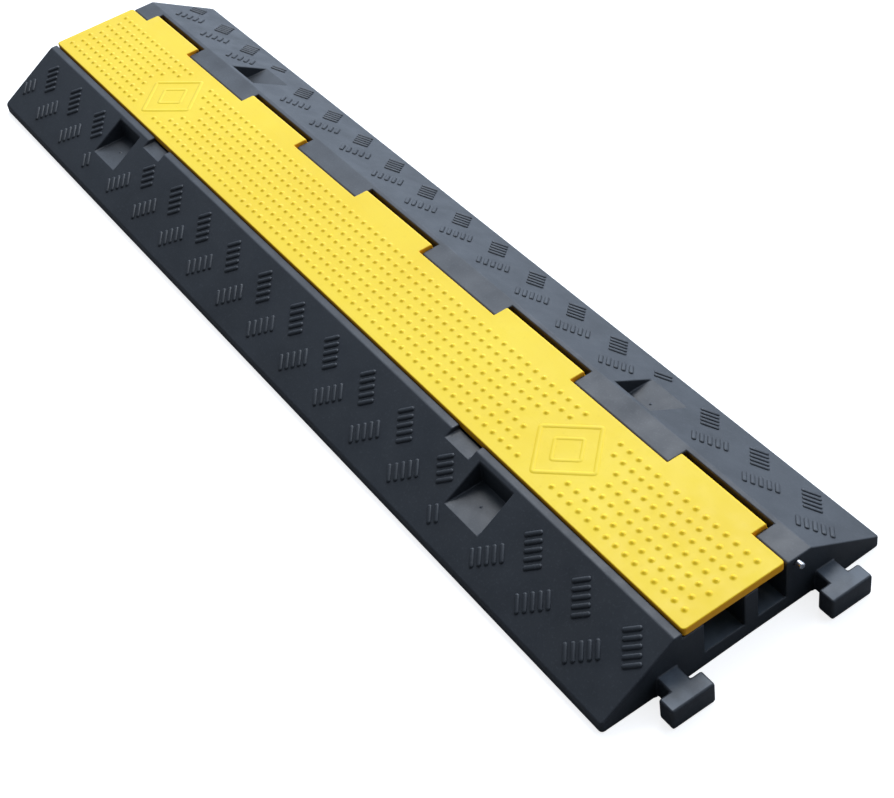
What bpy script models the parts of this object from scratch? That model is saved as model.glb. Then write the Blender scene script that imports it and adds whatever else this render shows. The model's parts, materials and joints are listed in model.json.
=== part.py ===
"""Cable protector ramp: a rubber base with two cable channels, a hinged lid and the steel rod it turns on.

X runs along the ramp, with the linking lugs at +X. Y runs across it, with the hinge at +Y. Z is up, and the
origin is the middle of the underside. Sizes are in metres.
"""

import math

import bmesh
import bpy

MM = 0.001
GAP = 0.3 * MM
OVERCUT = 5 * MM
ROUND_STEPS = 24
EDGE_STEPS = 3

# Rubber base
LENGTH = 1000 * MM
WIDTH = 250 * MM
RUBBER_HEIGHT = 47.5 * MM
FOOT_HEIGHT = 9.5 * MM
CREST_HALF_WIDTH = 60 * MM
CREST_RADIUS = 4 * MM
FOOT_RADIUS = 3 * MM
PLAN_CORNER_RADIUS = 3 * MM

# Cable channels, from the front wall to the rear wall
FLOOR_HEIGHT = 12.5 * MM
FRONT_WALL_Y = -35 * MM
FRONT_CHANNEL_WIDTH = 35 * MM
DIVIDER_WIDTH = 12.5 * MM
REAR_CHANNEL_WIDTH = 25 * MM
DIVIDER_FRONT_Y = FRONT_WALL_Y + FRONT_CHANNEL_WIDTH
DIVIDER_REAR_Y = DIVIDER_FRONT_Y + DIVIDER_WIDTH
REAR_WALL_Y = DIVIDER_REAR_Y + REAR_CHANNEL_WIDTH

# Lid
LID_LENGTH = 999 * MM
LID_TOP = 50 * MM
LID_THICKNESS = 7.5 * MM
LID_FRONT_Y = -52.5 * MM
LID_SIDE_GAP = 0.8 * MM
LID_CORNER_RADIUS = 3 * MM
LID_UNDERSIDE = LID_TOP - LID_THICKNESS
LID_REAR_Y = REAR_WALL_Y - LID_SIDE_GAP
LEDGE_HEIGHT = LID_UNDERSIDE - GAP
LIP_INNER_Y = LID_FRONT_Y - LID_SIDE_GAP
FINGER_EDGE_RADIUS = 2.5 * MM

# Hinge
AXIS_Y = 47 * MM
AXIS_Z = 42.5 * MM
KNUCKLE_RADIUS = 5 * MM
KNUCKLE_OVERHANG = 3.5 * MM
KNUCKLE_EDGE_RADIUS = 2 * MM
KNUCKLE_SIDE_GAP = 1.5 * MM
ROD_RADIUS = 2.5 * MM
ROD_CHAMFER = 0.6 * MM
ROD_REACH = 5.5 * MM
ROD_RECESS = 12 * MM
SLOT_REAR_Y = 55.5 * MM
SLOT_FLOOR = 35 * MM
BORE_RADIUS = ROD_RADIUS + GAP

# Knuckles as (middle, length) along X
KNUCKLES = [
    (-421 * MM, 90 * MM),
    (-210.5 * MM, 101 * MM),
    (-1.5 * MM, 104 * MM),
    (210.5 * MM, 101 * MM),
    (421 * MM, 90 * MM),
]

# Finger notches in the front lip, used to lift the lid
NOTCH_X = 256.5 * MM
NOTCH_WIDTH = 31 * MM
NOTCH_FLOOR = 43 * MM
NOTCH_REACH = 15 * MM

# Anchor pockets in both ramps, by the X of their middles
POCKET_MIDDLES = (-307.5 * MM, 302.5 * MM)
POCKET_LENGTH = 42 * MM
POCKET_INNER_Y = 63.5 * MM
POCKET_FLOOR = 25 * MM

# T-shaped linking lugs at +X and their sockets at -X, by the Y of their middles
LUG_MIDDLES = (-68.5 * MM, 72 * MM)
LUG_NECK_LENGTH = 13.5 * MM
LUG_NECK_WIDTH = 18 * MM
LUG_HEAD_LENGTH = 14.5 * MM
LUG_HEAD_WIDTH = 37 * MM
LUG_HEIGHT = 20 * MM
LUG_EDGE_RADIUS = 2 * MM
LUG_EDGE_STEPS = 2
SOCKET_CLEARANCE = 1 * MM


def clear_scene():
    for item in list(bpy.data.objects):
        bpy.data.objects.remove(item)


def material(name, colour, roughness, metallic=0.0):
    made = bpy.data.materials.new(name)
    made.use_nodes = True
    shader = made.node_tree.nodes["Principled BSDF"]
    shader.inputs["Base Color"].default_value = (*colour, 1.0)
    shader.inputs["Roughness"].default_value = roughness
    shader.inputs["Metallic"].default_value = metallic
    return made


def arc(centre, radius, start, stop, steps):
    """Points on an arc, from angle start to angle stop in degrees."""
    angles = [math.radians(start + (stop - start) * i / steps) for i in range(steps + 1)]
    return [(centre[0] + radius * math.cos(a), centre[1] + radius * math.sin(a)) for a in angles]


def circle(centre, radius):
    """Points once round a circle, without a second point where it closes."""
    return arc(centre, radius, 0, 360 - 360 / ROUND_STEPS, ROUND_STEPS - 1)


def fillet(before, corner, after, radius):
    """Points that round off a corner of an outline with an arc of the given radius."""
    ax, ay = before[0] - corner[0], before[1] - corner[1]
    bx, by = after[0] - corner[0], after[1] - corner[1]
    la, lb = math.hypot(ax, ay), math.hypot(bx, by)
    half = math.acos((ax * bx + ay * by) / (la * lb)) / 2
    reach = radius / math.tan(half)
    first = (corner[0] + ax / la * reach, corner[1] + ay / la * reach)
    middle = (ax / la + bx / lb, ay / la + by / lb)
    scale = radius / math.sin(half) / math.hypot(*middle)
    centre = (corner[0] + middle[0] * scale, corner[1] + middle[1] * scale)
    start = math.atan2(first[1] - centre[1], first[0] - centre[0])
    turn = math.pi - 2 * half
    if ax * by - ay * bx > 0:
        turn = -turn
    return arc(centre, radius, math.degrees(start), math.degrees(start + turn), EDGE_STEPS)


def prism(name, outlines, axis, low, high):
    """A solid with each outline drawn across the axis and extruded along it from low to high.

    Along X an outline is (y, z) points, and along Z it is (x, y) points. Both run anticlockwise.
    """
    mesh = bmesh.new()
    for outline in outlines:
        if axis == "X":
            ring = [mesh.verts.new((low, y, z)) for y, z in outline]
            step = (high - low, 0, 0)
        else:
            ring = [mesh.verts.new((x, y, low)) for x, y in outline]
            step = (0, 0, high - low)
        face = mesh.faces.new(ring)
        swept = bmesh.ops.extrude_face_region(mesh, geom=[face])
        moved = [item for item in swept["geom"] if isinstance(item, bmesh.types.BMVert)]
        bmesh.ops.translate(mesh, vec=step, verts=moved)
        face.normal_flip()
    bmesh.ops.recalc_face_normals(mesh, faces=mesh.faces)
    data = bpy.data.meshes.new(name)
    mesh.to_mesh(data)
    mesh.free()
    made = bpy.data.objects.new(name, data)
    bpy.context.collection.objects.link(made)
    return made


def rectangle(low, high):
    return [(low[0], low[1]), (high[0], low[1]), (high[0], high[1]), (low[0], high[1])]


def rounded_rectangle(low, high, radius):
    x0, y0, x1, y1 = low[0] + radius, low[1] + radius, high[0] - radius, high[1] - radius
    return (
        arc((x1, y0), radius, -90, 0, EDGE_STEPS)
        + arc((x1, y1), radius, 0, 90, EDGE_STEPS)
        + arc((x0, y1), radius, 90, 180, EDGE_STEPS)
        + arc((x0, y0), radius, 180, 270, EDGE_STEPS)
    )


def combine(target, tool, operation):
    """Adds a Boolean modifier to the target and turns the tool into a hidden guide."""
    step = target.modifiers.new(tool.name, "BOOLEAN")
    step.operation = operation
    step.object = tool
    tool.hide_render = True
    tool.display_type = "WIRE"


def move_origin(item, point):
    """Moves an object's origin to a point and leaves its shape where it is."""
    for vertex in item.data.vertices:
        vertex.co = (vertex.co.x - point[0], vertex.co.y - point[1], vertex.co.z - point[2])
    item.location = point


def ramp_section():
    """The base's outline across the ramp: two slopes, a lip, two channels and the hinge block."""
    half = WIDTH / 2
    foot, crest = (-half, FOOT_HEIGHT), (-CREST_HALF_WIDTH, RUBBER_HEIGHT)
    foot_round = fillet((-half, 0), foot, crest, FOOT_RADIUS)
    crest_round = fillet(foot, crest, (0, RUBBER_HEIGHT), CREST_RADIUS)
    front = [(-half, 0)] + foot_round + crest_round
    rear = [(-y, z) for y, z in reversed(front)]
    finger_corner = fillet(
        (REAR_WALL_Y, 0), (REAR_WALL_Y, RUBBER_HEIGHT), (half, RUBBER_HEIGHT), FINGER_EDGE_RADIUS
    )
    trough = [
        (LIP_INNER_Y, RUBBER_HEIGHT),
        (LIP_INNER_Y, LEDGE_HEIGHT),
        (FRONT_WALL_Y, LEDGE_HEIGHT),
        (FRONT_WALL_Y, FLOOR_HEIGHT),
        (DIVIDER_FRONT_Y, FLOOR_HEIGHT),
        (DIVIDER_FRONT_Y, LEDGE_HEIGHT),
        (DIVIDER_REAR_Y, LEDGE_HEIGHT),
        (DIVIDER_REAR_Y, FLOOR_HEIGHT),
        (REAR_WALL_Y, FLOOR_HEIGHT),
    ]
    return list(reversed(front + trough + finger_corner + rear))


def t_outline(middle, direction, start, clearance):
    """Plan outline of one linking lug, or of its socket when a clearance is given."""
    neck = LUG_NECK_WIDTH / 2 + clearance
    head = LUG_HEAD_WIDTH / 2 + clearance
    shoulder = LENGTH / 2 + LUG_NECK_LENGTH - clearance
    tip = shoulder + LUG_HEAD_LENGTH + 2 * clearance
    points = [
        (start, middle - neck),
        (shoulder, middle - neck),
        (shoulder, middle - head),
        (tip, middle - head),
        (tip, middle + head),
        (shoulder, middle + head),
        (shoulder, middle + neck),
        (start, middle + neck),
    ]
    if direction > 0:
        return points
    return [(x - LENGTH, y) for x, y in points]


def linking_lugs():
    """Both lugs, with their necks running into the base."""
    outlines = [t_outline(middle, 1, LENGTH / 2 - OVERCUT, 0) for middle in LUG_MIDDLES]
    lugs = prism("linking_lugs", outlines, "Z", 0, LUG_HEIGHT)
    bevel = lugs.modifiers.new("rounded_edges", "BEVEL")
    bevel.width = LUG_EDGE_RADIUS
    bevel.segments = LUG_EDGE_STEPS
    bevel.limit_method = "ANGLE"
    return lugs


def linking_sockets():
    """T-shaped cuts that open at the far end and at the underside."""
    start = LENGTH / 2 - OVERCUT
    outlines = [t_outline(middle, -1, start, SOCKET_CLEARANCE) for middle in LUG_MIDDLES]
    return prism("socket_cutter", outlines, "Z", -OVERCUT, LUG_HEIGHT + SOCKET_CLEARANCE)


def knuckle_slots():
    """Open slots for the lid's knuckles, which leave the base's fingers standing between them."""
    low_y = REAR_WALL_Y - OVERCUT
    outlines = []
    for middle, length in KNUCKLES:
        half = length / 2 + KNUCKLE_SIDE_GAP
        outlines.append(rectangle((middle - half, low_y), (middle + half, SLOT_REAR_Y)))
    return prism("knuckle_slot_cutter", outlines, "Z", SLOT_FLOOR, RUBBER_HEIGHT + OVERCUT)


def finger_notches():
    """Cuts through the front lip that let a finger reach the lid's edge."""
    half = NOTCH_WIDTH / 2
    outer_y = -CREST_HALF_WIDTH - NOTCH_REACH
    inner_y = LIP_INNER_Y + OVERCUT
    outlines = [
        rectangle((side * NOTCH_X - half, outer_y), (side * NOTCH_X + half, inner_y)) for side in (-1, 1)
    ]
    return prism("finger_notch_cutter", outlines, "Z", NOTCH_FLOOR, RUBBER_HEIGHT + OVERCUT)


def anchor_pockets():
    """Four pockets with a level floor that runs out through the slope."""
    half = POCKET_LENGTH / 2
    outlines = []
    for middle in POCKET_MIDDLES:
        low_x, high_x = middle - half, middle + half
        outlines.append(rectangle((low_x, POCKET_INNER_Y), (high_x, WIDTH / 2)))
        outlines.append(rectangle((low_x, -WIDTH / 2), (high_x, -POCKET_INNER_Y)))
    return prism("anchor_pocket_cutter", outlines, "Z", POCKET_FLOOR, RUBBER_HEIGHT + OVERCUT)


def rod_bore(name, half_length):
    """A cutter on the hinge axis for the rod's hole."""
    return prism(name, [circle((AXIS_Y, AXIS_Z), BORE_RADIUS)], "X", -half_length, half_length)


def build_base(rubber):
    base = prism("ramp_base", [ramp_section()], "X", -LENGTH / 2, LENGTH / 2)
    corner = (LENGTH / 2, WIDTH / 2)
    plan = rounded_rectangle((-corner[0], -corner[1]), corner, PLAN_CORNER_RADIUS)
    combine(base, prism("plan_outline", [plan], "Z", -OVERCUT, RUBBER_HEIGHT + OVERCUT), "INTERSECT")
    combine(base, linking_lugs(), "UNION")
    combine(base, linking_sockets(), "DIFFERENCE")
    combine(base, knuckle_slots(), "DIFFERENCE")
    combine(base, finger_notches(), "DIFFERENCE")
    combine(base, anchor_pockets(), "DIFFERENCE")
    combine(base, rod_bore("base_bore_cutter", LENGTH / 2 + OVERCUT), "DIFFERENCE")
    base.data.materials.append(rubber)
    return base


def knuckle_section():
    """A knuckle across the ramp: the lid's plate runs back just past the hinge axis, over a round barrel."""
    plate_y = LID_REAR_Y - OVERCUT
    drop = AXIS_Z - LID_UNDERSIDE
    front_meeting = math.degrees(math.asin(drop / KNUCKLE_RADIUS))
    rear_meeting = math.degrees(math.acos(KNUCKLE_OVERHANG / KNUCKLE_RADIUS))
    barrel = arc((AXIS_Y, AXIS_Z), KNUCKLE_RADIUS, -180 + front_meeting, rear_meeting, ROUND_STEPS)
    rear_y = AXIS_Y + KNUCKLE_OVERHANG
    edge = fillet((rear_y, AXIS_Z), (rear_y, LID_TOP), (plate_y, LID_TOP), KNUCKLE_EDGE_RADIUS)
    return [(plate_y, LID_TOP), (plate_y, LID_UNDERSIDE)] + barrel + edge


def build_lid(plastic):
    half = LID_LENGTH / 2
    plate = rounded_rectangle((-half, LID_FRONT_Y), (half, LID_REAR_Y), LID_CORNER_RADIUS)
    lid = prism("channel_lid", [plate], "Z", LID_UNDERSIDE, LID_TOP)
    for number, (middle, length) in enumerate(KNUCKLES, 1):
        low, high = middle - length / 2, middle + length / 2
        combine(lid, prism(f"knuckle_{number}", [knuckle_section()], "X", low, high), "UNION")
    combine(lid, rod_bore("lid_bore_cutter", LENGTH / 2), "DIFFERENCE")
    lid.data.materials.append(plastic)
    move_origin(lid, (0, AXIS_Y, AXIS_Z))
    return lid


def build_rod(steel):
    low, high = -LENGTH / 2 + ROD_RECESS, LENGTH / 2 + ROD_REACH
    rod = prism("hinge_rod", [circle((AXIS_Y, AXIS_Z), ROD_RADIUS)], "X", low, high)
    bevel = rod.modifiers.new("chamfered_ends", "BEVEL")
    bevel.width = ROD_CHAMFER
    bevel.segments = 1
    bevel.limit_method = "ANGLE"
    rod.data.materials.append(steel)
    rod.data.shade_smooth()
    rod.data.set_sharp_from_angle(angle=math.radians(30))
    move_origin(rod, (0, AXIS_Y, AXIS_Z))
    return rod


def build_ramp():
    clear_scene()
    build_base(material("black_rubber", (0.035, 0.038, 0.042), 0.75))
    build_lid(material("yellow_pvc", (0.95, 0.72, 0.05), 0.45))
    build_rod(material("steel", (0.62, 0.62, 0.64), 0.3, metallic=1.0))


build_ramp()
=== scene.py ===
"""Looks of the cable protector ramp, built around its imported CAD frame.

X runs along the ramp with the linking lugs at +X, Y runs across it with the hinge at +Y, and Z is
up. Sizes are in metres. Places come from the frame's boxes and mounts, or from a ray cast straight
down onto a CAD surface.
"""

import json
import math

import bmesh
import bpy
from mathutils import Matrix, Vector
from mathutils.bvhtree import BVHTree


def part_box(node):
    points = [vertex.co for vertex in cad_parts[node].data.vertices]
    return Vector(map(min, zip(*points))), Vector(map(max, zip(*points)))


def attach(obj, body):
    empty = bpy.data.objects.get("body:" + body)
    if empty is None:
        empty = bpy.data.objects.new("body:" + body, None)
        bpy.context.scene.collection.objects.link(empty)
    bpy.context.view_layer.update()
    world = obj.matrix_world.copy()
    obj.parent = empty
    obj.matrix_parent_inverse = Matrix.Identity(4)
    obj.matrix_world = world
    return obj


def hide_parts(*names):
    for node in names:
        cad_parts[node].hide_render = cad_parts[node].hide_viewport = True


MM = 0.001

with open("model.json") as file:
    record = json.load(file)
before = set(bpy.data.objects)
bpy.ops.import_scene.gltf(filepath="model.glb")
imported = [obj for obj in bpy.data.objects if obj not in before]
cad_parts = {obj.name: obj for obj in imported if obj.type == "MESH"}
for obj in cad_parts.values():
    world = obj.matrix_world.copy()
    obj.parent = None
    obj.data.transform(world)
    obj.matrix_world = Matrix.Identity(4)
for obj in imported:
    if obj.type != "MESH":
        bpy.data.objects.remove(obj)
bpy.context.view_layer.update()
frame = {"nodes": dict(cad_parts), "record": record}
base_low, base_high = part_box("ramp_base")
lid_low, lid_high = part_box("channel_lid")
MOUNTS = {mount["name"]: Vector(mount["pos_m"]) for mount in frame["record"]["mounts"]}

HALF_WIDTH = base_high.y
LID_TOP = lid_high.z

# Rounded edges of the CAD shapes. An edge whose faces meet at more than the sharp angle, in degrees,
# gets the full radius. A crease between two wide faces gets a share of it.
RUBBER_EDGE_RADIUS = 1.2 * MM
PLASTIC_EDGE_RADIUS = 1.0 * MM
EDGE_STEPS = 3
SHARP_ANGLE = 50
CREASE_ANGLE = 25
CREASE_SHARE = 0.3
WIDE_FACE = 300 * MM * MM

# Joining of the CAD's triangles: points this close are one point, and faces that meet at less than
# this many degrees are one face
WELD_DISTANCE = 0.005 * MM
FLAT_ANGLE = 0.4

# Raised details: how deep their feet are sunk into the surface, and their smallest corner radius
SINK = 0.5 * MM
SMALLEST_CORNER = 0.1 * MM

# Tread ribs: groups that zigzag between a lower and an upper row on each slope. Rows are measured
# up the slope from its foot, and the turn is in degrees from the ramp's length.
GROUP_COUNT = 36
GROUP_PITCH = 27.7 * MM
GROUP_START = base_low.x + 10.2 * MM
FRONT_ROWS = (25.8 * MM, 52 * MM)
REAR_ROWS = (22.5 * MM, 49.5 * MM)
RIBS_PER_GROUP = 5
RIB_PITCH = 6.3 * MM
RIB_LENGTH = 15.5 * MM
RIB_WIDTH = 4.0 * MM
RIB_HEIGHT = 1.3 * MM
RIB_TURN = 45
RIB_CORNER = 1.8 * MM
RIB_CORNER_STEPS = 3
RIB_BACK_SHARE = 0.8
RIB_BACK_STEPS = 4
RIB_CLEARANCE = 1 * MM

# Rays are cast down from this height. Each slope is sampled at a share of the half width, and
# another spot is on it when their normals agree to this cosine.
RAY_START = 1.0
SLOPE_SAMPLE = 0.75
SAME_FACE = 0.999

# Studs on the lid, in staggered rows, with a clear diamond at each emblem
STUD_ROWS = 7
STUD_ROW_PITCH = 10.57 * MM
STUD_PITCH = 10.47 * MM
STUD_FIRST_ROW_Y = lid_low.y + 12 * MM
STUDS_PER_ROW = 94
STUD_RADIUS = 3.0 * MM
STUD_HEIGHT = 1.4 * MM

# Emblems: a diamond frame with a smaller one inside it, near both ends of the lid
EMBLEM_X = lid_high.x - 181 * MM
EMBLEM_Y = lid_low.y + 43 * MM
EMBLEM_CLEARANCE = 47 * MM
EMBLEM_HALF_DIAGONAL = 36 * MM
EMBLEM_HALF_SIDE = EMBLEM_HALF_DIAGONAL / math.sqrt(2)
INNER_HALF_SIDE = EMBLEM_HALF_SIDE / 2
EMBLEM_BAR = {"width": 4.2 * MM, "height": 0.55 * MM, "corner": 4 * MM}
INNER_BAR = {"width": 3.4 * MM, "height": 0.4 * MM, "corner": 3.6 * MM}
BAR_SLANT_SHARE = 0.3
BAR_CORNER_STEPS = 6

# Small round nub in the middle of each anchor pocket
NUB_RADIUS = 1.6 * MM
NUB_HEIGHT = 0.7 * MM

# Studs and nubs are domes with this many sides and rings
DOME_SIDES = 12
DOME_RINGS = 5

# Largest angle, in degrees, across which each kind of detail is shaded smooth
RIB_SMOOTH_ANGLE = 70
DOME_SMOOTH_ANGLE = 60
EMBLEM_SMOOTH_ANGLE = 30

# Height up to which level rubber faces get painted light, a lighter tone standing in for the key
# light on them, and the height over which it fades out
LIT_TOPS_HEIGHT = 22 * MM
LIT_TOPS_FADE = 1 * MM

# Colours, as linear red, green, blue and alpha
RUBBER_DARK = (0.0125, 0.015, 0.019, 1)
RUBBER_PALE = (0.021, 0.025, 0.031, 1)
RUBBER_SPECK = (0.05, 0.056, 0.064, 1)
RUBBER_RUBBED = (0.10, 0.11, 0.125, 1)
# Painted light: the lighter tone of level rubber faces low down, standing in for the key light
RUBBER_LIT_TOP = (0.075, 0.092, 0.112, 1)
PVC_DEEP = (0.84, 0.575, 0.012, 1)
PVC_BRIGHT = (0.88, 0.64, 0.024, 1)
PVC_GRIME = (0.70, 0.46, 0.015, 1)
# Painted shade: the orange that sides and stud flanks of the yellow plastic are blended to
PVC_SHADED_SIDES = (1.0, 0.42, 0.01, 1)
STEEL_BRIGHT = (0.66, 0.66, 0.68, 1)
STEEL_DULL = (0.42, 0.40, 0.38, 1)
FLOOR_DARK = (0.20, 0.20, 0.20, 1)
FLOOR_PALE = (0.23, 0.23, 0.23, 1)
FLOOR_SEEN = (0.5, 0.5, 0.5, 1)
SKY_BLUE = (0.82, 0.96, 1.17, 1)
WHITE = (1, 1, 1, 1)

# Sockets of the colour Mix node, whose names are shared by its number and vector sockets
MIX_SHARE = 0
MIX_FIRST = 6
MIX_SECOND = 7
MIX_RESULT = 2

# Studio floor: a disc just under the object, and how strongly it glows for the camera
FLOOR_RADIUS = 6.0
FLOOR_SIDES = 96
FLOOR_GAP = 0.3 * MM
FLOOR_GLOW = 0.8

# Studio light. Directions are an azimuth and an elevation in degrees, seen from the object. The sky
# is brightest in one direction, and its strength rises between two cosines of the angle from it.
SOFTBOX_DIRECTION = (218, 62)
SOFTBOX_DISTANCE = 2.6
SOFTBOX_SIZE = 0.9
SOFTBOX_RADIANCE = 12.0
SKY_DIRECTION = (205, 20)
SKY_EDGES = (0.2, 0.95)
SKY_STRENGTHS = (0.15, 2.55)

# Camera: where it stands from the point it aims at, its roll in degrees and its lens in mm
CAMERA_DIRECTION = (63.00, 43.69)
CAMERA_DISTANCE = 1.3235
CAMERA_TARGET = Vector((191.1, -34.5, 25)) * MM
CAMERA_ROLL = -10.58
CAMERA_LENS = 67.80
CAMERA_SENSOR = 36


# ---------------------------------------------------------------- shader helpers


def set_inputs(tree, node, inputs):
    """Sets a node's inputs. Each is a value or another node's output."""
    for name, value in inputs.items():
        if isinstance(value, bpy.types.NodeSocket):
            tree.links.new(value, node.inputs[name])
        else:
            node.inputs[name].default_value = value


def add_node(tree, kind, inputs=None, **settings):
    """Adds a node, changes its settings, and then sets its inputs."""
    made = tree.nodes.new(kind)
    for name, value in settings.items():
        setattr(made, name, value)
    set_inputs(tree, made, inputs or {})
    return made


def start_material(name):
    """A new material, with its node tree and its shader node."""
    made = bpy.data.materials.new(name)
    made.use_nodes = True
    return made, made.node_tree, made.node_tree.nodes["Principled BSDF"]


def position(tree, stretch=(1, 1, 1)):
    """The point's place on the object in metres, with each axis scaled by stretch."""
    coordinates = add_node(tree, "ShaderNodeTexCoord")
    inputs = {"Vector": coordinates.outputs["Object"], "Scale": stretch}
    return add_node(tree, "ShaderNodeMapping", inputs).outputs["Vector"]


def height_above_underside(tree):
    return add_node(tree, "ShaderNodeSeparateXYZ", {"Vector": position(tree)}).outputs["Z"]


def upward(tree):
    """How far a face points up along the object's own Z: one on level faces, zero on walls."""
    coordinates = add_node(tree, "ShaderNodeTexCoord")
    inputs = {"Vector": coordinates.outputs["Normal"]}
    return add_node(tree, "ShaderNodeSeparateXYZ", inputs).outputs["Z"]


def noise(tree, scale, detail, stretch=(1, 1, 1)):
    inputs = {
        "Vector": position(tree, stretch),
        "Scale": scale,
        "Detail": detail,
        "Roughness": 0.55,
    }
    return add_node(tree, "ShaderNodeTexNoise", inputs).outputs["Fac"]


def spread(tree, value, edges, results=(0, 1)):
    """Maps a value between two edges onto two results, and stops at the ends."""
    inputs = {
        "Value": value,
        "From Min": edges[0],
        "From Max": edges[1],
        "To Min": results[0],
        "To Max": results[1],
    }
    return add_node(tree, "ShaderNodeMapRange", inputs).outputs["Result"]


def multiply(tree, first, second):
    made = add_node(tree, "ShaderNodeMath", {0: first, 1: second}, operation="MULTIPLY")
    return made.outputs["Value"]


def absolute(tree, value):
    return add_node(tree, "ShaderNodeMath", {0: value}, operation="ABSOLUTE").outputs["Value"]


def dot_product(tree, first, second):
    made = add_node(tree, "ShaderNodeVectorMath", {0: first, 1: second}, operation="DOT_PRODUCT")
    return made.outputs["Value"]


def blend_colours(tree, share, first, second):
    inputs = {MIX_SHARE: share, MIX_FIRST: first, MIX_SECOND: second}
    return add_node(tree, "ShaderNodeMix", inputs, data_type="RGBA").outputs[MIX_RESULT]


def bump(tree, height, strength, distance, under=None):
    """A normal that follows a height, on top of another bump's normal when one is given."""
    inputs = {"Height": height, "Strength": strength, "Distance": distance}
    if under is not None:
        inputs["Normal"] = under
    return add_node(tree, "ShaderNodeBump", inputs).outputs["Normal"]


def edge_share(tree, radius, edges):
    """One on sharp edges and zero on flat stretches, from how far a bevelled normal turns away."""
    bevel = add_node(tree, "ShaderNodeBevel", {"Radius": radius}, samples=4)
    geometry = add_node(tree, "ShaderNodeNewGeometry")
    agreement = dot_product(tree, bevel.outputs["Normal"], geometry.outputs["Normal"])
    return spread(tree, agreement, edges, (1, 0))


# ---------------------------------------------------------------- materials


def black_rubber():
    """Moulded rubber: dark slate with a fine grain, cloudy patches and rubbed edges, and painted
    light on level faces low down, such as the lug tops.
    """
    made, tree, shader = start_material("black_rubber_moulded")
    clouds = spread(tree, noise(tree, scale=14, detail=5), (0.3, 0.7))
    colour = blend_colours(tree, clouds, RUBBER_DARK, RUBBER_PALE)
    specks = spread(tree, noise(tree, scale=520, detail=2), (0.56, 0.72), (0, 0.35))
    colour = blend_colours(tree, specks, colour, RUBBER_SPECK)

    patches = spread(tree, noise(tree, scale=90, detail=3), (0.4, 0.65), (0.1, 0.5))
    rubbed = multiply(tree, edge_share(tree, radius=1.6 * MM, edges=(0.55, 0.98)), patches)
    colour = blend_colours(tree, rubbed, colour, RUBBER_RUBBED)

    # Painted light: level faces below the lug tops are lightened in patches, standing in for the key
    # light falling on them
    below_lit_height = spread(tree, height_above_underside(tree), (LIT_TOPS_HEIGHT - LIT_TOPS_FADE, LIT_TOPS_HEIGHT), (1, 0))
    lit_tops = multiply(tree, spread(tree, upward(tree), (0.96, 0.99)), below_lit_height)
    lit_patches = spread(tree, noise(tree, scale=55, detail=4), (0.35, 0.65), (0.35, 0.9))
    colour = blend_colours(tree, multiply(tree, lit_tops, lit_patches), colour, RUBBER_LIT_TOP)

    grain = bump(tree, noise(tree, scale=1500, detail=3), strength=0.22, distance=0.25 * MM)
    waves = noise(tree, scale=75, detail=3)
    set_inputs(tree, shader, {
        "Base Color": colour,
        "Roughness": spread(tree, noise(tree, scale=40, detail=4), (0.3, 0.7), (0.46, 0.6)),
        "Normal": bump(tree, waves, strength=0.25, distance=0.5 * MM, under=grain),
        "Specular IOR Level": 0.6,
    })
    return made


def yellow_pvc():
    """Moulded PVC: yellow where it is level, with painted orange shade on its sides and the studs'
    flanks, and lengthwise scratches.
    """
    made, tree, shader = start_material("yellow_pvc_moulded")
    clouds = spread(tree, noise(tree, scale=9, detail=4), (0.3, 0.7))
    colour = blend_colours(tree, clouds, PVC_DEEP, PVC_BRIGHT)
    grime = spread(tree, noise(tree, scale=220, detail=4), (0.58, 0.78), (0, 0.25))
    colour = blend_colours(tree, grime, colour, PVC_GRIME)
    # Painted shade: faces that turn away from level are blended towards orange, standing in for the
    # shade on the lid's sides and the studs' flanks
    level = spread(tree, absolute(tree, upward(tree)), (0.3, 0.95))
    colour = blend_colours(tree, level, PVC_SHADED_SIDES, colour)

    grain = bump(tree, noise(tree, scale=1100, detail=2), strength=0.12, distance=0.2 * MM)
    streaks = noise(tree, scale=260, detail=3, stretch=(0.06, 1, 1))
    scratches = spread(tree, streaks, (0.6, 0.72))
    set_inputs(tree, shader, {
        "Base Color": colour,
        "Roughness": spread(tree, noise(tree, scale=60, detail=3), (0.3, 0.7), (0.38, 0.5)),
        "Normal": bump(tree, scratches, strength=0.12, distance=0.2 * MM, under=grain),
        "Specular IOR Level": 0.25,
    })
    return made


def drawn_steel():
    """Bright drawn rod: fine marks along its length and a few dull spots."""
    made, tree, shader = start_material("drawn_steel_rod")
    dull = spread(tree, noise(tree, scale=130, detail=4), (0.5, 0.75), (0, 0.6))
    lines = noise(tree, scale=1800, detail=2, stretch=(0.03, 1, 1))
    set_inputs(tree, shader, {
        "Base Color": blend_colours(tree, dull, STEEL_BRIGHT, STEEL_DULL),
        "Roughness": spread(tree, lines, (0.3, 0.7), (0.2, 0.38)),
        "Normal": bump(tree, lines, strength=0.2, distance=0.1 * MM),
        "Metallic": 1.0,
    })
    return made


def studio_floor():
    """A floor that looks white to the camera, and throws little light back onto the object."""
    made, tree, shader = start_material("studio_floor")
    seen = add_node(tree, "ShaderNodeLightPath").outputs["Is Camera Ray"]
    colour = blend_colours(tree, noise(tree, scale=3, detail=2), FLOOR_DARK, FLOOR_PALE)
    set_inputs(tree, shader, {
        "Base Color": blend_colours(tree, seen, colour, FLOOR_SEEN),
        "Roughness": 1.0,
        "Specular IOR Level": 0.0,
        "Emission Color": WHITE,
        "Emission Strength": multiply(tree, seen, FLOOR_GLOW),
    })
    return made


# ---------------------------------------------------------------- mesh helpers


def new_object(name, mesh, material, smooth_angle=None):
    """Turns a bmesh into an object, shaded smooth up to an angle when one is given."""
    data = bpy.data.meshes.new(name)
    mesh.to_mesh(data)
    mesh.free()
    if smooth_angle is not None:
        data.shade_smooth()
        data.set_sharp_from_angle(angle=math.radians(smooth_angle))
    data.materials.append(material)
    made = bpy.data.objects.new(name, data)
    bpy.context.scene.collection.objects.link(made)
    return made


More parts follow.
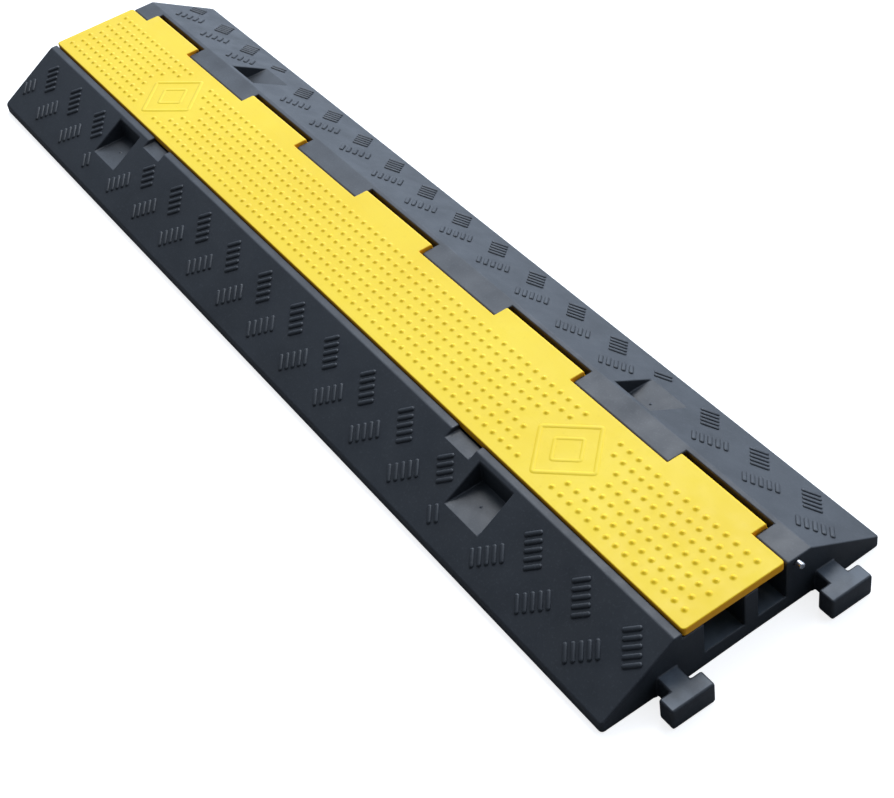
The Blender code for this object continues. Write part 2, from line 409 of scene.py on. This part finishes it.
def finish_piece(piece, body, node=None):
    """Puts a piece on its body, in place of a CAD node when one is given."""
    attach(piece, body)
    if node:
        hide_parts(node)


def ring_outline(half_x, half_y, radius, steps):
    """Points of a rectangle with rounded corners, centred on zero, anticlockwise."""
    points = []
    for quarter, (sx, sy) in enumerate(((1, 1), (-1, 1), (-1, -1), (1, -1))):
        for step in range(steps + 1):
            angle = math.radians(90 * (quarter + step / steps))
            points.append((
                sx * (half_x - radius) + radius * math.cos(angle),
                sy * (half_y - radius) + radius * math.sin(angle),
            ))
    return points


def circle_outline(radius):
    angles = [math.tau * side / DOME_SIDES for side in range(DOME_SIDES)]
    return [(radius * math.cos(angle), radius * math.sin(angle)) for angle in angles]


def add_ring(mesh, place, outline, level):
    """Adds an outline's points at one level above the surface."""
    return [mesh.verts.new(place @ Vector((x, y, level))) for x, y in outline]


def bridge(mesh, lower, upper):
    """Joins two rings of points with a band of faces."""
    for i in range(len(lower)):
        j = (i + 1) % len(lower)
        mesh.faces.new((lower[i], lower[j], upper[j], upper[i]))


def add_rib(mesh, place):
    """A closed bar with round ends and a rounded back, with its foot sunk into the surface."""
    half_length, half_width = RIB_LENGTH / 2, RIB_WIDTH / 2
    profile = [(0.0, -SINK)]
    for step in range(RIB_BACK_STEPS + 1):
        angle = math.radians(90 * step / RIB_BACK_STEPS)
        inset = half_width * RIB_BACK_SHARE * (1 - math.cos(angle))
        profile.append((inset, RIB_HEIGHT * math.sin(angle)))
    rings = []
    for inset, level in profile:
        corner = max(RIB_CORNER - inset, SMALLEST_CORNER)
        outline = ring_outline(half_length - inset, half_width - inset, corner, RIB_CORNER_STEPS)
        rings.append(add_ring(mesh, place, outline, level))
    mesh.faces.new(reversed(rings[0]))
    for lower, upper in zip(rings, rings[1:]):
        bridge(mesh, lower, upper)
    mesh.faces.new(rings[-1])


def add_raised_frame(mesh, place, half, width, height, corner):
    """A closed square frame, raised from the surface, with sloping sides."""
    slant = width * BAR_SLANT_SHARE
    profile = (
        (0, -SINK),
        (0, 0),
        (slant, height),
        (width - slant, height),
        (width, 0),
        (width, -SINK),
    )
    rings = []
    for inset, level in profile:
        radius = max(corner - inset, SMALLEST_CORNER)
        outline = ring_outline(half - inset, half - inset, radius, BAR_CORNER_STEPS)
        rings.append(add_ring(mesh, place, outline, level))
    for lower, upper in zip(rings, rings[1:] + rings[:1]):
        bridge(mesh, lower, upper)


def add_dome(mesh, place, radius, height):
    """A closed low dome that rises softly from the surface, with its foot sunk into it."""
    rings = [add_ring(mesh, place, circle_outline(radius), -SINK)]
    for step in range(DOME_RINGS):
        share = step / DOME_RINGS
        level = height * math.sin(share * math.pi / 2) ** 2
        outline = circle_outline(radius * (1 - share))
        rings.append(add_ring(mesh, place, outline, level))
    mesh.faces.new(reversed(rings[0]))
    for lower, upper in zip(rings, rings[1:]):
        bridge(mesh, lower, upper)
    top = mesh.verts.new(place @ Vector((0, 0, height)))
    for i in range(DOME_SIDES):
        mesh.faces.new((rings[-1][i], rings[-1][(i + 1) % DOME_SIDES], top))


# ---------------------------------------------------------------- base and lid


def rounding_share(edge):
    """How much of the full radius an edge gets."""
    if len(edge.link_faces) != 2:
        return 0.0
    angle = math.degrees(edge.calc_face_angle())
    if angle > SHARP_ANGLE:
        return 1.0
    wide = min(face.calc_area() for face in edge.link_faces) > WIDE_FACE
    return CREASE_SHARE if wide and angle > CREASE_ANGLE else 0.0


def moulded_copy(node, name, material, edge_radius):
    """A copy of a CAD node with its flat faces merged and its edges rounded."""
    mesh = bmesh.new()
    mesh.from_mesh(frame["nodes"][node].data)
    bmesh.ops.remove_doubles(mesh, verts=mesh.verts, dist=WELD_DISTANCE)
    bmesh.ops.dissolve_limit(
        mesh, angle_limit=math.radians(FLAT_ANGLE), verts=mesh.verts, edges=mesh.edges
    )
    share = mesh.edges.layers.float.new("bevel_weight_edge")
    for edge in mesh.edges:
        edge[share] = rounding_share(edge)
    copy = new_object(name, mesh, material)
    copy.data.shade_smooth()
    rounding = copy.modifiers.new("rounded_edges", "BEVEL")
    rounding.width = edge_radius
    rounding.segments = EDGE_STEPS
    rounding.limit_method = "WEIGHT"
    rounding.use_clamp_overlap = False
    shading = copy.modifiers.new("flat_faces_shaded_flat", "WEIGHTED_NORMAL")
    shading.mode = "FACE_AREA"
    shading.weight = 100
    return copy


def build_base(material):
    base = moulded_copy("ramp_base", "ramp_base_moulding", material, RUBBER_EDGE_RADIUS)
    finish_piece(base, "base", "ramp_base")


def build_lid(material):
    lid = moulded_copy("channel_lid", "channel_lid_moulding", material, PLASTIC_EDGE_RADIUS)
    finish_piece(lid, "lid", "channel_lid")


# ---------------------------------------------------------------- tread ribs and pocket nubs


class Slope:
    """One slope of the base: the front one has side -1 and the rear one has side 1.

    A spot on it has two distances, along the ramp from X zero and up the slope from its foot.
    """

    def __init__(self, tree, side):
        self.tree = tree
        y = side * (HALF_WIDTH * SLOPE_SAMPLE)
        point, self.normal = self.surface_below(0, y)
        self.along = Vector((1, 0, 0))
        self.up = Vector((0, -side * self.normal.z, side * self.normal.y)).normalized()
        self.foot = point - self.up * ((HALF_WIDTH - abs(y)) / abs(self.up.y))

    def surface_below(self, x, y):
        """The highest CAD surface at (x, y), as a point and its normal, or None twice."""
        point, normal, _, _ = self.tree.ray_cast(Vector((x, y, RAY_START)), Vector((0, 0, -1)))
        return point, normal

    def point(self, spot):
        return self.foot + self.along * spot.x + self.up * spot.y

    def holds(self, spot):
        """Whether the CAD surface at a spot is the slope itself, and not a pocket or a notch."""
        point = self.point(spot)
        _, found = self.surface_below(point.x, point.y)
        return found is not None and found.dot(self.normal) > SAME_FACE

    def place(self, spot, turn):
        """Axes at a spot, with X turned from along the ramp towards up the slope."""
        axes = Matrix((self.along, self.up, self.normal)).transposed().to_4x4()
        return Matrix.Translation(self.point(spot)) @ axes @ Matrix.Rotation(turn, 4, "Z")


def base_surface():
    """The CAD base as a tree that rays can be cast onto."""
    mesh = bmesh.new()
    mesh.from_mesh(frame["nodes"]["ramp_base"].data)
    tree = BVHTree.FromBMesh(mesh)
    mesh.free()
    return tree


def has_room(slope, spot, turn):
    """Whether the corners of a rib, with its clearance all round, are on the slope."""
    lengthways = Vector((math.cos(turn), math.sin(turn))) * (RIB_LENGTH / 2 + RIB_CLEARANCE)
    sideways = Vector((-math.sin(turn), math.cos(turn))) * (RIB_WIDTH / 2 + RIB_CLEARANCE)
    corners = [lengthways * i + sideways * j for i in (-1, 1) for j in (-1, 1)]
    return all(slope.holds(spot + corner) for corner in corners)


def build_tread_ribs(slope, rows, name, material):
    """Groups of ribs side by side: the upper ones run up towards +X, and the lower ones down.

    An upper group is left out when its middle falls in a pocket. Elsewhere only the ribs without
    room are left out.
    """
    mesh = bmesh.new()
    for group in range(GROUP_COUNT):
        upper = group % 2 == 1
        turn = math.radians(RIB_TURN if upper else -RIB_TURN)
        stack = math.radians(RIB_TURN - 90 if upper else 90 - RIB_TURN)
        stacking = Vector((math.cos(stack), math.sin(stack)))
        middle = Vector((GROUP_START + GROUP_PITCH * group, rows[group % 2]))
        if upper and not slope.holds(middle):
            continue
        for number in range(RIBS_PER_GROUP):
            spot = middle + stacking * ((number - (RIBS_PER_GROUP - 1) / 2) * RIB_PITCH)
            if has_room(slope, spot, turn):
                add_rib(mesh, slope.place(spot, turn))
    bmesh.ops.recalc_face_normals(mesh, faces=mesh.faces)
    ribs = new_object(name, mesh, material, RIB_SMOOTH_ANGLE)
    finish_piece(ribs, "base")


def build_pocket_nubs(material):
    mesh = bmesh.new()
    for name, spot in MOUNTS.items():
        if "anchor_pocket" in name:
            add_dome(mesh, Matrix.Translation(spot), NUB_RADIUS, NUB_HEIGHT)
    nubs = new_object("anchor_pocket_nubs", mesh, material, DOME_SMOOTH_ANGLE)
    finish_piece(nubs, "base")


# ---------------------------------------------------------------- lid studs and emblems


def near_emblem(x, y):
    """Whether a stud would fall in the clear diamond round an emblem."""
    return any(
        abs(x - side * EMBLEM_X) + abs(y - EMBLEM_Y) < EMBLEM_CLEARANCE for side in (-1, 1)
    )


def build_lid_studs(material):
    """Rows of studs, with one stud fewer in every second row."""
    mesh = bmesh.new()
    for row in range(STUD_ROWS):
        y = STUD_FIRST_ROW_Y + row * STUD_ROW_PITCH
        count = STUDS_PER_ROW - row % 2
        for number in range(count):
            x = (number - (count - 1) / 2) * STUD_PITCH
            if not near_emblem(x, y):
                add_dome(mesh, Matrix.Translation((x, y, LID_TOP)), STUD_RADIUS, STUD_HEIGHT)
    studs = new_object("lid_studs", mesh, material, DOME_SMOOTH_ANGLE)
    finish_piece(studs, "lid")


def build_emblems(material):
    mesh = bmesh.new()
    diamond = Matrix.Rotation(math.radians(45), 4, "Z")
    for side in (-1, 1):
        place = Matrix.Translation((side * EMBLEM_X, EMBLEM_Y, LID_TOP)) @ diamond
        add_raised_frame(mesh, place, EMBLEM_HALF_SIDE, **EMBLEM_BAR)
        add_raised_frame(mesh, place, INNER_HALF_SIDE, **INNER_BAR)
    bmesh.ops.recalc_face_normals(mesh, faces=mesh.faces)
    emblems = new_object("lid_emblems", mesh, material, EMBLEM_SMOOTH_ANGLE)
    finish_piece(emblems, "lid")


def build_object():
    rubber = black_rubber()
    plastic = yellow_pvc()
    steel = drawn_steel()
    surface = base_surface()
    build_base(rubber)
    build_lid(plastic)
    build_tread_ribs(Slope(surface, -1), FRONT_ROWS, "front_tread_ribs", rubber)
    build_tread_ribs(Slope(surface, 1), REAR_ROWS, "rear_tread_ribs", rubber)
    build_pocket_nubs(rubber)
    build_lid_studs(plastic)
    build_emblems(plastic)
    for slot in frame["nodes"]["hinge_rod"].material_slots:
        slot.material = steel


# ---------------------------------------------------------------- studio


def direction(azimuth, elevation):
    """Unit vector from the object towards a viewer at these angles, in degrees."""
    a, e = math.radians(azimuth), math.radians(elevation)
    return Vector((math.sin(a) * math.cos(e), -math.cos(a) * math.cos(e), math.sin(e)))


def build_floor():
    mesh = bmesh.new()
    bmesh.ops.create_circle(mesh, cap_ends=True, segments=FLOOR_SIDES, radius=FLOOR_RADIUS)
    bmesh.ops.translate(mesh, vec=(0, 0, -FLOOR_GAP), verts=mesh.verts)
    new_object("studio_floor", mesh, studio_floor())


def build_softbox():
    """A square area light that faces the object. Its power follows from its size and radiance."""
    light = bpy.data.lights.new("key_softbox", "AREA")
    light.shape = "SQUARE"
    light.size = SOFTBOX_SIZE
    light.energy = SOFTBOX_RADIANCE * math.pi * SOFTBOX_SIZE ** 2
    softbox = bpy.data.objects.new("key_softbox", light)
    bpy.context.scene.collection.objects.link(softbox)
    away = direction(*SOFTBOX_DIRECTION)
    softbox.location = away * SOFTBOX_DISTANCE
    softbox.rotation_mode = "QUATERNION"
    softbox.rotation_quaternion = away.to_track_quat("Z", "Y")
    softbox.visible_camera = False


def build_world():
    """Bluish light from behind more than from in front, and a white backdrop for the camera."""
    world = bpy.data.worlds.new("studio")
    bpy.context.scene.world = world
    world.use_nodes = True
    tree = world.node_tree
    geometry = add_node(tree, "ShaderNodeNewGeometry")
    facing = dot_product(tree, geometry.outputs["Incoming"], -direction(*SKY_DIRECTION))
    light = tree.nodes["Background"]
    strength = spread(tree, facing, SKY_EDGES, SKY_STRENGTHS)
    set_inputs(tree, light, {"Color": SKY_BLUE, "Strength": strength})
    backdrop = add_node(tree, "ShaderNodeBackground", {"Color": WHITE})
    seen = add_node(tree, "ShaderNodeLightPath").outputs["Is Camera Ray"]
    inputs = {0: seen, 1: light.outputs["Background"], 2: backdrop.outputs["Background"]}
    mixed = add_node(tree, "ShaderNodeMixShader", inputs)
    tree.links.new(mixed.outputs["Shader"], tree.nodes["World Output"].inputs["Surface"])


def build_camera():
    """A long lens from the lug end, high in front, tilted a little clockwise."""
    roll = math.radians(CAMERA_ROLL)
    back = direction(*CAMERA_DIRECTION)
    level = Vector((0, 0, 1)).cross(back).normalized()
    upright = back.cross(level)
    right = level * math.cos(roll) + upright * math.sin(roll)
    up = back.cross(right)
    lens = bpy.data.cameras.new("camera")
    lens.lens = CAMERA_LENS
    lens.sensor_width = CAMERA_SENSOR
    camera = bpy.data.objects.new("camera", lens)
    bpy.context.scene.collection.objects.link(camera)
    place = Matrix.Translation(CAMERA_TARGET + back * CAMERA_DISTANCE)
    camera.matrix_world = place @ Matrix((right, up, back)).transposed().to_4x4()
    bpy.context.scene.camera = camera


def build_studio():
    build_floor()
    build_world()
    build_softbox()
    build_camera()
    bpy.context.scene.view_settings.view_transform = "Standard"


build_object()
build_studio()
